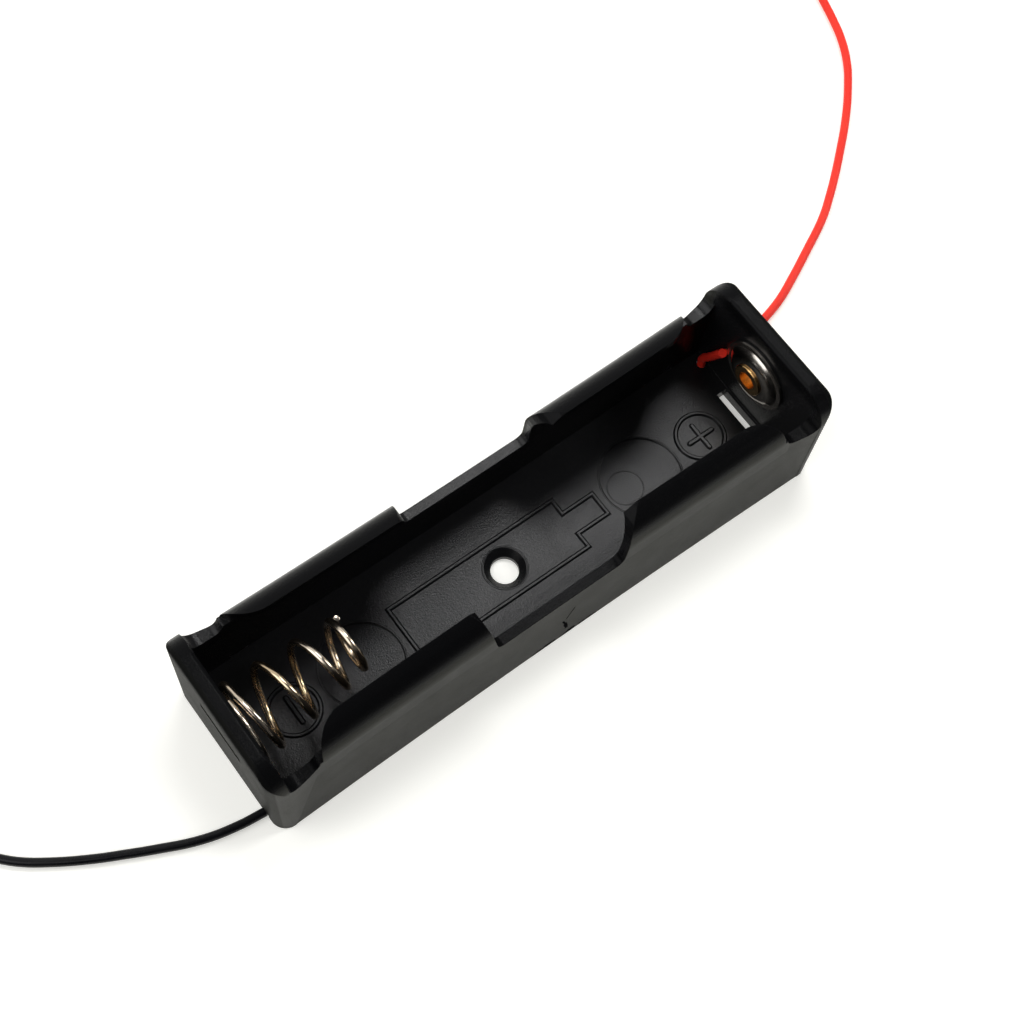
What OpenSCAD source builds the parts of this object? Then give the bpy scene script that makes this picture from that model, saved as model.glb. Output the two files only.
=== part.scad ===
// Holder for one cylindrical cell: a moulded tray with curled lips, a conical
// spring contact, a domed contact with its eyelet, and two wire leads.
// X runs along the tray towards the plus contact, Y across it, Z up.
// The origin is on the underside, in the middle of the tray.

/* [Tray] */
// Overall length of the tray
tray_l = 77; // [74:0.5:86]
// Overall width of the tray, across its end walls
tray_w = 21.2; // [20.6:0.1:24]
// Overall height of the tray
tray_h = 17.6; // [17:0.1:20]
// Thickness of each end wall
end_t = 2.1; // [1.8:0.1:2.6]
// Radius of the upper corners of the end walls
end_r = 4; // [2:0.5:6]
// Radius of the upright outer edges of the end walls
edge_r = 1.9; // [0.5:0.1:2]
// Radius along the end walls' top edges
top_r = 0.5; // [0.2:0.1:0.8]
// Thickness of the floor along its middle line
floor_t = 1.5; // [1.3:0.1:2.2]
// Radius of the floor's trough
trough_r = 55; // [40:1:120]

/* [Side walls] */
// Thickness of each side wall
wall_t = 1.22; // [1:0.02:1.6]
// How far the upright part of each wall leans in
wall_lean = 0.6; // [0.1:0.1:1]
// How far each wall bows in at mid-length
wall_bow = 0.35; // [0.2:0.05:0.8]
// Set-back of the walls' feet from the end walls' faces
wall_set = 0.04; // [0.02:0.01:0.2]
// Height at which the lean ends
lean_h = 10.7; // [8:0.1:12]
// Outer radius of the curled lips
curl_r = 4; // [3.5:0.1:4.4]
// Thickness of the lips at the crown of the curl
lip_t = 0.9; // [0.7:0.05:1.2]
// Width of the mouth between the lips at mid-length
mouth_w = 12.9; // [12:0.1:14]

/* [Finger gap] */
// Height of the gap's sill above the underside
gap_z = 10.35; // [9:0.05:12]
// Place of the sill's end towards the spring
gap_x0 = -8.6; // [-12:0.1:-6]
// Place of the sill's end towards the plus contact
gap_x1 = 8.9; // [6:0.1:10]
// Run of the gap's end towards the spring, from the sill to the top
gap_run0 = 1.3; // [0.5:0.1:3]
// Run of the gap's end towards the plus contact
gap_run1 = 0.5; // [0.2:0.1:2]
// Radius in the sill's corners
sill_r = 1.1; // [0.3:0.1:1.5]
// Radius on the lips' corners towards the spring
gap_lip_r0 = 1.5; // [0.5:0.1:2.5]
// Radius on the lips' corners towards the plus contact
gap_lip_r1 = 4; // [1:0.1:5]

/* [Dips beside the end walls] */
// Length of each dip, from the end wall to the lip
dip_l = 4.3; // [3:0.1:6]
// Height of the dips' bottom above the underside
dip_z = 12.8; // [12:0.1:14]
// Radius in the dips' corners at the end walls
dip_r = 1.7; // [0.5:0.1:2]
// Radius in the dips' corners at the lips
dip_lip_r = 1.3; // [0.3:0.1:1.5]
// Radius that rounds the lips' ends beside the dips, seen from above
lip_end_r = 5.3; // [2:0.1:6]

/* [Floor] */
// Diameter of the screw hole
screw_d = 3.4; // [2.5:0.1:4.5]
// Diameter of the screw hole's countersink at the floor
sink_d = 5; // [4.6:0.1:7]
// Depth of the countersink
sink_h = 0.8; // [0.4:0.1:1]
// Diameter of the two flat marks left by the mould's ejector pins
pin_d = 10; // [6:0.5:12]
// Distance of each ejector mark from the middle
pin_x = 20.3; // [15:0.1:24]
// Depth of the ejector marks at the middle of the floor
pin_deep = 0.12; // [0.02:0.01:0.2]
// Width of the slot through the floor below the plus contact
slot_w = 6.3; // [4:0.1:8]
// Length of that slot along the tray
slot_l = 1.35; // [0.8:0.05:2]
// Distance from that slot to the end wall
slot_gap = 0.3; // [0.2:0.1:1]

/* [Pocket in the minus end wall] */
// Width of the pocket
pocket_w = 7.6; // [4:0.2:10]
// Height of the pocket
pocket_h = 1.3; // [0.8:0.1:2]
// Height of the pocket's lower edge above the underside
pocket_z = 11; // [9:0.1:12]
// Depth of the pocket
pocket_deep = 0.6; // [0.3:0.1:0.8]
// Sideways place of the pocket's middle
pocket_y = -0.3; // [-2:0.1:2]

/* [Plus contact] */
// Diameter of the domed disc
disc_d = 9.3; // [8:0.1:11]
// Thickness of the disc's sheet
disc_t = 0.3; // [0.2:0.05:0.5]
// Height of the dome above its rim
dome_h = 0.8; // [0.3:0.05:1]
// Width of the disc's flat rim
rim_w = 0.6; // [0.3:0.1:1]
// Diameter of the flat on top of the dome
dome_flat_d = 4.7; // [4.4:0.1:5]
// Height of the disc's centre above the underside
disc_z = 10.4; // [9:0.1:10.8]
// Height of the round pad that carries the disc
pad_t = 0.2; // [0.15:0.05:0.5]
// Outer diameter of the eyelet's barrel
eyelet_d = 3.2; // [2.6:0.1:3.3]
// Diameter of the eyelet's hole
eyelet_hole = 2.4; // [1.6:0.1:2.4]
// Diameter of the eyelet's rolled flares
flare_d = 4.2; // [3.8:0.1:4.3]
// Thickness of the eyelet's rolled flares
flare_t = 0.3; // [0.2:0.05:0.4]

/* [Spring] */
// Diameter of the spring wire
wire_d = 0.85; // [0.6:0.05:0.85]
// Radius of the base turns, at the wire's centre
base_r = 4.58; // [4:0.05:5]
// Radius of the tip turn, at the wire's centre
tip_r = 2.95; // [2.5:0.05:3.8]
// How far the spring leans sideways from its base to its tip
lean_y = 0.75; // [0:0.05:1]
// How far the spring leans upwards from its base to its tip
lean_z = 0.45; // [0:0.05:0.8]
// Turns that lie closed at the base
base_turns = 1; // [0.8:0.05:1.5]
// Open turns between the base and the tip
open_turns = 2.8; // [2:0.1:4]
// Turns that lie closed at the tip
tip_turns = 1.04; // [0.8:0.02:1.2]
// Distance between open turns
open_pitch = 4.67; // [3:0.05:5]
// Distance between closed turns
closed_pitch = 0.95; // [0.9:0.01:1.1]
// Height of the spring's axis above the underside
spring_z = 9.9; // [9:0.1:10.5]
// Sideways place of the spring's axis
spring_y = -0.3; // [-0.5:0.1:0.5]
// Depth of the round seat in the end wall
seat_deep = 0.35; // [0.2:0.05:0.8]
// Clearance between the spring and its seat
seat_gap = 0.12; // [0.08:0.01:0.3]

/* [Leads] */
// Diameter over the insulation
lead_d = 1.1; // [0.9:0.05:1.2]
// Diameter of the bare strands
core_d = 0.6; // [0.4:0.05:0.7]
// Distance of each lead's notch from the tray's side
lead_inset = 3.1; // [2.9:0.1:4]
// Width of the notches
notch_w = 1.4; // [1.3:0.1:1.6]
// Clearance around the leads in the holes where they come up
lead_gap = 0.06; // [0.04:0.01:0.15]
// Height of the notches
notch_h = 1.4; // [1.3:0.1:1.5]
// Length of bare strands at the far end of each lead
bare_l = 4; // [2:0.5:8]
// Radius of the red coil's outer turn, at the lead's centre
red_coil_r = 7.1; // [7:0.1:8]
// Radius of the black coil's outer turn, at the lead's centre
black_coil_r = 7.6; // [7.5:0.1:8.5]

/* [Hidden] */

far = 100;                                   // reaches past the whole tray
half_l = tray_l / 2;
inner_l = half_l - end_t;                    // middle to the inner face of an end wall
wall_y = tray_w / 2 - wall_set - wall_lean - wall_bow;   // outer face above the lean, mid-length
curl_y = wall_y - curl_r;                    // centre of the curl's outer arc
curl_z = tray_h - curl_r;
curl_in_r = curl_r - (wall_t + lip_t) / 2;   // inner arc, thinner towards the crown
curl_in_y = curl_y - (wall_t - lip_t) / 2;
curl_in_z = curl_z + (wall_t - lip_t) / 2;
lean_rate = wall_lean / lean_h;
bow_r = (inner_l * inner_l + wall_bow * wall_bow) / (2 * wall_bow);
bow_reach = inner_l + end_t / 3;             // the walls end inside the end walls
bow_angle = asin(bow_reach / bow_r);
bow_fn = 2400;
round_fn = 64;
arc_steps = 8;                               // straight steps in the gap's rounded corners

disc_r = disc_d / 2;
rim_x = inner_l - pad_t;                     // back face of the disc's rim
flat_x = rim_x - disc_t - dome_h;            // front face of the dome's flat
channel_w = 1.3;                             // groove in the pad for the strands
eyelet_fit = 0.05;
flare_deep = 0.5;

spring_x = -inner_l - seat_deep + seat_gap + wire_d / 2;
spring_turns = base_turns + open_turns + tip_turns;
spring_start = 70.6;                         // angle of the wire's base end
spring_steps = 26;                           // rings to each turn
wire_sides = 10;
lead_sides = 8;

lead_y = tray_w / 2 - lead_inset;
rise_x = inner_l - notch_w / 2;              // where the leads come up through the floor

// Route of the red lead from its notch to its coil, where it lies on the ground.
red_run = [
    [0, 0], [2.5, 0], [5.9, 0.3], [9.2, 1], [12.1, 1.9], [14.8, 3.1], [17.5, 4.4], [20.1, 5.7],
    [22.7, 7], [25.1, 8.4], [27.2, 9.9], [29.2, 11.4], [33, 14.5], [37, 18], [40.4, 21.5],
    [42.9, 24.6], [44.8, 28], [46, 31.2], [47, 34.5], [48.2, 38.5], [49.2, 42.5], [49.8, 45.5],
    [50, 48.5]
];
red_route = [for (p = red_run) [half_l, lead_y] + p];
red_coil_at = red_route[len(red_route) - 1] - [red_coil_r, 0];
red_turns = 1.95;

// Route of the black lead from its notch to its coil.
black_run = [
    [0, 0], [-3.2, 0.4], [-7.2, 1.4], [-12.2, 3.6], [-15, 5], [-17.7, 6.4], [-22.1, 9.1],
    [-24.5, 10.9], [-26.1, 12.5], [-28, 14.8], [-29.6, 17.5], [-30.7, 20.5], [-31.1, 23.5]
];
black_route = [for (p = black_run) p - [half_l, lead_y]];
black_coil_at = black_route[len(black_route) - 1] - [black_coil_r, 0];
black_turns = 2.86;

// Tops of the leads inside the tray, beside the disc and beside the spring's base.
top_turn = -20;                              // their direction from the contact's axis
lead_clear = 0.7;
red_reach = disc_r + lead_clear;
red_top = [rise_x, red_reach * cos(top_turn), disc_z + red_reach * sin(top_turn)];
solder_r = 0.5;
solder_gap = 0.1;
bead_reach = base_r + wire_d / 2 + solder_gap + solder_r;
black_reach = bead_reach + solder_r + lead_clear;
black_top = [
    rise_x, black_reach * cos(top_turn) - spring_y, spring_z + black_reach * sin(top_turn)
];

// Route of a lead inside the tray, from its notch up to its top; drawn for the plus end.
function inner_route(top) =
    let (low = lead_d / 2)
    let (bend = [rise_x, lead_y, 3.3])
    [
        [half_l, lead_y, low], [inner_l + 0.8, lead_y, low], [inner_l + 0.1, lead_y, low + 0.08],
        [rise_x + 0.32, lead_y, low + 0.32], [rise_x + 0.01, lead_y, low + 0.8],
        [rise_x, lead_y, low + 1.7], bend, (2 * bend + top) / 3, (bend + 2 * top) / 3, top
    ];

x_way = [1, 0, 0];
y_way = [0, 1, 0];
z_way = [0, 0, 1];

function unit(v) = v / norm(v);
function flat_to_3d(route) = [for (p = route) [p[0], p[1], lead_d / 2]];
function turned(route) = [for (p = route) [-p[0], -p[1], p[2]]];
function way(path, i) = unit(path[min(i + 1, len(path) - 1)] - path[max(i - 1, 0)]);
function trough_z(y) = floor_t + trough_r - sqrt(trough_r * trough_r - y * y);

// Points of the arc of radius r that rounds corner p, from its side towards a to its side towards b.
function rounded(p, a, b, r) =
    let (u = unit(a - p))
    let (v = unit(b - p))
    let (half = acos(u * v) / 2)
    let (centre = p + unit(u + v) * r / sin(half))
    let (from = p + u * r / tan(half) - centre)
    let (turn = (cross(u, v) > 0 ? -1 : 1) * (180 - 2 * half))
    let (first = atan2(from[1], from[0]))
    [for (i = [0 : arc_steps])
        centre + r * [cos(first + turn * i / arc_steps), sin(first + turn * i / arc_steps)]];

// One ring of a round tube, square to the path; ref is a direction the path never runs along.
function ring(p, t, r, sides, ref) =
    let (side = unit(cross(ref, t)))
    let (up = cross(t, side))
    [for (k = [0 : sides - 1]) p + r * (cos(360 * k / sides) * side + sin(360 * k / sides) * up)];

// A closed round tube along a path, one ring at each of its points.
module tube_along(path, d, ref, sides = lead_sides) {
    last = len(path) - 1;
    points = [for (i = [0 : last]) for (p = ring(path[i], way(path, i), d / 2, sides, ref)) p];
    walls = [for (i = [0 : last - 1]) for (k = [0 : sides - 1])
        let (n = (k + 1) % sides)
        [i * sides + k, (i + 1) * sides + k, (i + 1) * sides + n, i * sides + n]];
    first_cap = [for (k = [0 : sides - 1]) k];
    last_cap = [for (k = [sides - 1 : -1 : 0]) last * sides + k];
    polyhedron(points, concat([first_cap], walls, [last_cap]));
}

// The piece between a corner and the arc that rounds it: p is the corner, a and b lie on its sides.
module corner_fill(p, a, b, r) {
    u = unit(a - p);
    v = unit(b - p);
    half = acos(u * v) / 2;
    centre = p + unit(u + v) * r / sin(half);
    difference() {
        polygon([p, p + u * r / tan(half), centre, p + v * r / tan(half)]);
        translate(centre) circle(r, $fn = round_fn);
    }
}

// Section of a side wall: x is the distance from the middle plane, y the height.
module wall_section() {
    difference() {
        union() {
            polygon([
                [curl_y, 0], [wall_y + wall_lean, 0], [wall_y, lean_h], [wall_y, curl_z],
                [curl_y, curl_z]
            ]);
            translate([curl_y, curl_z]) circle(curl_r, $fn = round_fn);
        }
        polygon([
            [-1, -1], [wall_y - wall_t + wall_lean + lean_rate, -1], [wall_y - wall_t, lean_h],
            [wall_y - wall_t, curl_in_z], [-1, curl_in_z]
        ]);
        translate([curl_in_y, curl_in_z]) circle(curl_in_r, $fn = round_fn);
        translate([-1, -1]) square([mouth_w / 2 + 1, tray_h + 2]);
    }
}

// One side wall, bowed in towards the middle of its length.
module side_wall() {
    axis_y = wall_y + bow_r;
    translate([0, axis_y, 0])
        rotate([0, 0, 270 - bow_angle])
            rotate_extrude(angle = 2 * bow_angle, $fn = bow_fn)
                translate([axis_y, 0]) mirror([1, 0]) wall_section();
}

// Outline of the finger gap, seen from the side.
module gap_outline() {
    over = 1;
    a = [gap_x0, gap_z];
    b = [gap_x1, gap_z];
    c = [gap_x1 + gap_run1, tray_h];
    d = [gap_x0 - gap_run0, tray_h];
    lip0 = rounded(d, d - [far, 0], a, gap_lip_r0);
    lip1 = rounded(c, b, c + [far, 0], gap_lip_r1);
    polygon(concat(
        rounded(a, d, b, sill_r), rounded(b, a, c, sill_r), lip1,
        [lip1[arc_steps] + [0, over], lip0[0] + [0, over]], lip0
    ));
}

// Outline of the dip between the plus end wall and the lip, seen from the side.
module dip_outline() {
    over = 1;
    lip = [inner_l - dip_l, dip_z];
    end = [inner_l, dip_z];
    difference() {
        translate(lip) square([dip_l, tray_h - dip_z + over]);
        corner_fill(lip, end, lip + [0, far], dip_lip_r);
        corner_fill(end, lip, end + [0, far], dip_r);
    }
}

// What is cut from the plus end of a lip, seen from above, so that its end is round.
module lip_end_cut() {
    p = [inner_l - dip_l, mouth_w / 2 + wall_bow / 4];
    low = dip_z + dip_lip_r;
    translate([0, 0, low]) linear_extrude(tray_h - low + 1)
        corner_fill(p, p - [far, 0], p + [0, far], lip_end_r);
}

module through_walls() {
    rotate([90, 0, 0]) linear_extrude(tray_w + 2, center = true) children();
}

// A corner of the tray at the plus end, which brings the side wall out to the end wall's side.
module corner_post() {
    inside = wall_y - wall_t / 2;
    from = inner_l - dip_l;
    intersection() {
        linear_extrude(tray_h)
            polygon([
                [from, inside], [inner_l + end_t / 3, inside],
                [inner_l + end_t / 3, tray_w / 2 - wall_set], [inner_l, tray_w / 2 - wall_set],
                [from, wall_y + wall_bow / 2]
            ]);
        along_x(from, dip_l + end_t / 3) end_profile();
    }
}

// Outline of an end wall, seen along the tray.
module end_profile() {
    half_w = tray_w / 2;
    difference() {
        translate([-half_w, 0]) square([tray_w, tray_h]);
        for (s = [-1, 1]) corner_fill([s * half_w, tray_h], [0, tray_h], [s * half_w, 0], end_r);
    }
}

module along_x(from, length) {
    translate([from, 0, 0]) rotate([90, 0, 90]) linear_extrude(length) children();
}

// The plus end's wall, a plate with rounded upper corners and edges.
module end_wall() {
    half_w = tray_w / 2;
    intersection() {
        rotate([90, 0, 0]) linear_extrude(tray_w + 2, center = true)
            difference() {
                translate([inner_l, 0]) square([end_t, tray_h]);
                corner_fill([half_l, tray_h], [0, tray_h], [half_l, 0], top_r);
                corner_fill([inner_l, tray_h], [half_l, tray_h], [inner_l, 0], top_r);
            }
        along_x(inner_l, end_t) end_profile();
        linear_extrude(tray_h)
            difference() {
                translate([inner_l, -half_w]) square([end_t, tray_w]);
                for (s = [-1, 1])
                    corner_fill([half_l, s * half_w], [half_l, 0], [0, s * half_w], edge_r);
            }
    }
}

// The floor, with a shallow trough along it.
module floor_plate() {
    floor_half = wall_y;
    top = trough_z(floor_half);
    rotate([90, 0, 90]) linear_extrude(2 * inner_l + 2 * (end_t / 3), center = true)
        difference() {
            translate([-floor_half, 0]) square([2 * floor_half, top]);
            translate([0, floor_t + trough_r]) circle(trough_r, $fn = 360);
        }
}

module screw_hole() {
    translate([0, 0, -1]) cylinder(h = floor_t + 2, d = screw_d, $fn = round_fn);
    rate = (sink_d - screw_d) / sink_h;
    over = 0.5;
    translate([0, 0, floor_t - sink_h])
        cylinder(h = sink_h + over, d1 = screw_d, d2 = sink_d + rate * over, $fn = round_fn);
}

module ejector_marks() {
    for (s = [-1, 1])
        translate([s * pin_x, 0, floor_t - pin_deep]) cylinder(h = 2, d = pin_d, $fn = round_fn);
}

// Notch under the plus end wall, and the hole through the floor where a lead comes up.
module lead_notch() {
    translate([rise_x, lead_y - notch_w / 2, -1])
        cube([half_l - rise_x + 1, notch_w, notch_h + 1]);
    translate([rise_x, lead_y, -1])
        cylinder(h = 5, d = lead_d + 2 * lead_gap, $fn = round_fn);
}

module floor_slot() {
    translate([inner_l - slot_gap - slot_l, -slot_w / 2, -1]) cube([slot_l, slot_w, floor_t + 3]);
}

// Round pad on the plus end wall, grooved for the strands.
module contact_pad() {
    lead_in = unit([red_top[1], red_top[2] - disc_z]);
    difference() {
        translate([rim_x, 0, disc_z]) rotate([0, 90, 0])
            cylinder(h = pad_t + end_t / 2, r = disc_r - 0.1, $fn = round_fn);
        translate([rim_x - 1, 0, disc_z])
            rotate([atan2(lead_in[1], lead_in[0]), 0, 0])
                translate([0, 0, -channel_w / 2]) cube([1 + pad_t, disc_r + 1, channel_w]);
    }
}

module eyelet_hole_cut() {
    hole_d = eyelet_d + 2 * eyelet_fit;
    translate([inner_l - 1, 0, disc_z]) rotate([0, 90, 0])
        cylinder(h = end_t + 2, d = hole_d, $fn = round_fn);
    translate([half_l - flare_deep, 0, disc_z]) rotate([0, 90, 0])
        cylinder(h = 1, d = flare_d + 4 * eyelet_fit, $fn = round_fn);
}

// Round seat in the minus end wall for the spring's base turns.
module spring_seat() {
    translate([-inner_l - seat_deep, spring_y, spring_z]) rotate([0, 90, 0])
        cylinder(h = 2, r = base_r + wire_d / 2 + 3 * seat_gap, $fn = round_fn);
}

// Shallow pocket in the outer face of the minus end wall.
module end_pocket() {
    translate([-half_l - 1, pocket_y - pocket_w / 2, pocket_z])
        cube([pocket_deep + 1, pocket_w, pocket_h]);
}

module holder_body() {
    color([0.09, 0.09, 0.09]) difference() {
        union() {
            floor_plate();
            difference() {
                for (s = [0, 1]) mirror([0, s, 0]) {
                    side_wall();
                    corner_post();
                    mirror([1, 0, 0]) corner_post();
                }
                through_walls() {
                    gap_outline();
                    dip_outline();
                    mirror([1, 0]) dip_outline();
                }
                for (s = [0, 1], t = [0, 1])
                    mirror([0, s, 0]) mirror([t, 0, 0]) lip_end_cut();
            }
            end_wall();
            mirror([1, 0, 0]) end_wall();
            contact_pad();
        }
        screw_hole();
        ejector_marks();
        floor_slot();
        lead_notch();
        rotate([0, 0, 180]) lead_notch();
        eyelet_hole_cut();
        spring_seat();
        end_pocket();
    }
}

// Half section of the domed disc: x is the radius, y the height above the rim's back face.
module disc_section() {
    dome_rise_r = disc_r - rim_w;
    flat_r = dome_flat_d / 2;
    run = dome_rise_r - flat_r;
    arc_r = (run * run + dome_h * dome_h) / (2 * dome_h);
    hole_r = eyelet_d / 2 + eyelet_fit;
    difference() {
        union() {
            translate([hole_r, 0]) square([disc_r - hole_r, disc_t]);
            translate([hole_r, 0]) square([flat_r - hole_r, dome_h + disc_t]);
            intersection() {
                translate([flat_r, dome_h + disc_t - arc_r]) circle(arc_r, $fn = round_fn * 2);
                translate([flat_r, 0]) square([run, dome_h + disc_t]);
            }
        }
        translate([0, -1]) square([flat_r, dome_h + 1]);
        intersection() {
            translate([flat_r, dome_h - arc_r]) circle(arc_r, $fn = round_fn * 2);
            translate([flat_r - 0.01, -1]) square([run, dome_h + 2]);
        }
    }
}

module positive_contact() {
    color([0.78, 0.76, 0.72]) translate([rim_x, 0, disc_z]) rotate([0, -90, 0])
        rotate_extrude($fn = 96) disc_section();
}

// Half section of the eyelet: x is the radius, y runs from the front flare to the rear one.
module eyelet_section() {
    hole_r = eyelet_hole / 2;
    flare_r = flare_d / 2;
    length = half_l - flare_deep - flat_x;
    translate([hole_r, 0]) square([eyelet_d / 2 - hole_r, length]);
    for (y = [-flare_t, length]) {
        translate([hole_r, y]) square([flare_r - flare_t / 2 - hole_r, flare_t]);
        translate([flare_r - flare_t / 2, y + flare_t / 2]) circle(d = flare_t, $fn = round_fn);
    }
}

module contact_eyelet() {
    color([0.78, 0.55, 0.25]) translate([flat_x, 0, disc_z]) rotate([0, 90, 0])
        rotate_extrude($fn = round_fn) eyelet_section();
}

// Advance of the spring along X after t turns.
function spring_run(t) =
    closed_pitch * min(t, base_turns)
    + open_pitch * max(0, min(t, base_turns + open_turns) - base_turns)
    + closed_pitch * max(0, t - base_turns - open_turns);

// Radius of the spring after t turns: the base holds its size, then the wire winds in.
function spring_r(t) =
    base_r + (tip_r - base_r) * max(0, t - base_turns) / (spring_turns - base_turns);

function spring_point(t) =
    let (a = spring_start + 360 * t)
    let (out = max(0, t - base_turns) / (spring_turns - base_turns))
    [
        spring_x + spring_run(t), spring_y + lean_y * out + spring_r(t) * cos(a),
        spring_z + lean_z * out + spring_r(t) * sin(a)
    ];

module negative_spring() {
    count = round(spring_turns * spring_steps);
    path = [for (i = [0 : count]) spring_point(spring_turns * i / count)];
    color([0.8, 0.77, 0.7]) tube_along(path, wire_d, x_way, wire_sides);
}

// Point at a distance from the spring's axis, towards the black lead's top.
function bead_point(reach) = [
    -inner_l + solder_r + solder_gap, spring_y - reach * cos(top_turn),
    spring_z + reach * sin(top_turn)
];

// Bead of solder beside the base turn.
module spring_solder() {
    color([0.75, 0.75, 0.75]) translate(bead_point(bead_reach)) sphere(solder_r, $fn = 24);
}

module red_lead_inner() {
    color([0.9, 0.1, 0.08]) tube_along(inner_route(red_top), lead_d, y_way);
}

// Strands pressed flat between the disc's rim and the pad's groove.
module red_lead_strands() {
    lead_in = unit([red_top[1], red_top[2] - disc_z]);
    start = norm([red_top[1], red_top[2] - disc_z]) + 0.1;
    flat_t = pad_t - 0.06;
    color([0.75, 0.5, 0.35]) translate([inner_l - flat_t - 0.03, 0, disc_z])
        rotate([atan2(lead_in[1], lead_in[0]), 0, 0])
            translate([0, 2.2, -core_d / 2]) cube([flat_t, start - 2.2, core_d]);
}

module black_lead_inner() {
    color([0.06, 0.06, 0.06]) tube_along(turned(inner_route(black_top)), lead_d, y_way);
}

// Strands that run from the insulation into the bead of solder.
module black_lead_strands() {
    foot = turned([black_top])[0];
    head = bead_point(bead_reach + solder_r);
    color([0.75, 0.5, 0.35]) tube_along([foot, (foot + head) / 2, head], core_d * 0.7, x_way);
}

module red_lead() {
    color([0.9, 0.1, 0.08]) tube_along(flat_to_3d(red_route), lead_d, z_way);
}

module black_lead() {
    color([0.06, 0.06, 0.06]) tube_along(flat_to_3d(black_route), lead_d, z_way);
}

// Outer form of a flat spiral coil that starts at radius r and winds inwards.
module lead_coil(at, r, turns) {
    outer = r + lead_d / 2;
    inner = r - turns * lead_d - lead_d / 2;
    translate([at[0], at[1], 0]) rotate_extrude($fn = round_fn)
        translate([inner, 0]) square([outer - inner, lead_d]);
}

// Bare end of a lead, which goes on along the coil's spiral.
module lead_end(at, r, turns) {
    steps = 6;
    end_turns = bare_l / (2 * PI * (r - turns * lead_d));
    path = [for (i = [0 : steps])
        let (t = turns + end_turns * i / steps)
        let (now_r = r - lead_d * t)
        [at[0] + now_r * cos(360 * t), at[1] + now_r * sin(360 * t), lead_d / 2]];
    tube_along(path, core_d, z_way);
}

module red_lead_coil() {
    color([0.9, 0.1, 0.08]) lead_coil(red_coil_at, red_coil_r, red_turns);
}

module red_lead_end() {
    color([0.8, 0.8, 0.8]) lead_end(red_coil_at, red_coil_r, red_turns);
}

module black_lead_coil() {
    color([0.06, 0.06, 0.06]) lead_coil(black_coil_at, black_coil_r, black_turns);
}

module black_lead_end() {
    color([0.8, 0.8, 0.8]) lead_end(black_coil_at, black_coil_r, black_turns);
}

holder_body();
positive_contact();
contact_eyelet();
negative_spring();
spring_solder();
red_lead_inner();
red_lead_strands();
red_lead();
red_lead_coil();
red_lead_end();
black_lead_inner();
black_lead_strands();
black_lead();
black_lead_coil();
black_lead_end();
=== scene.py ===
"""Looks of a cylindrical cell holder: a black moulded tray with a spring, a domed contact and two leads.

Sizes are in metres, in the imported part's frame: X along the tray towards the plus contact, Z up.
Colours are linear red, green and blue.
"""
import math

import bpy
from mathutils import Matrix, Vector


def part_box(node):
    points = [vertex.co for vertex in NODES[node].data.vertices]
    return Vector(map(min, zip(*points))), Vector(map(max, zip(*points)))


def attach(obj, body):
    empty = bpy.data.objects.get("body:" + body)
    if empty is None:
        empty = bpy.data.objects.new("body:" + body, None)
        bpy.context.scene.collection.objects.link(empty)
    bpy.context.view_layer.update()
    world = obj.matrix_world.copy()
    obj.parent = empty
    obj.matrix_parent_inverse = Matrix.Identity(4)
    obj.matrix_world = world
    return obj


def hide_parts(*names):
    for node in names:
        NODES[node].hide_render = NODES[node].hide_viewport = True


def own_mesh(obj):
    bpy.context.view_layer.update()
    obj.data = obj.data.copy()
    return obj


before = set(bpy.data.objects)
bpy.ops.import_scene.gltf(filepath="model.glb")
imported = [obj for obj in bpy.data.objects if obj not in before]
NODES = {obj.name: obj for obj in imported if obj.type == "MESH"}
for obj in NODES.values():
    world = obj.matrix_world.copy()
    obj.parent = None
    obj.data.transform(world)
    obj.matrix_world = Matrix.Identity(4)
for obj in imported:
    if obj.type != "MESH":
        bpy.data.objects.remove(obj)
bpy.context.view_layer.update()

MM = 0.001
SCENE = bpy.context.scene
TRAY_LOW, TRAY_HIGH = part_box("holder_body")
HALF_LENGTH = TRAY_HIGH.x
HALF_WIDTH = TRAY_HIGH.y

# Sizes and places that the part's source also has.
END_WALL = 2.1 * MM
INNER_HALF = HALF_LENGTH - END_WALL
FLOOR_THICK = 1.5 * MM
TROUGH_RADIUS = 55 * MM
PIN_DEPTH = 0.12 * MM            # of the round marks that the mould's pins leave in the floor
CONTACT_Z = 10.4 * MM            # the middle of the plus contact
SPRING_Y = -0.3 * MM             # the middle of the spring's base turn
SPRING_Z = 9.9 * MM

# ---------------------------------------------------------------- camera

CAMERA_AIM = Vector((2.970, 3.252, 8.0)) * MM
CAMERA_DISTANCE = 204.1 * MM
CAMERA_AZIMUTH = math.radians(-44.437)
CAMERA_ELEVATION = math.radians(67.055)
CAMERA_ROLL = math.radians(8.445)
CAMERA_LENS = 62.625             # in millimetres, as is the sensor's width
CAMERA_SENSOR = 36
CAMERA_NEAR = 0.005
CAMERA_FAR = 100


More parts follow.
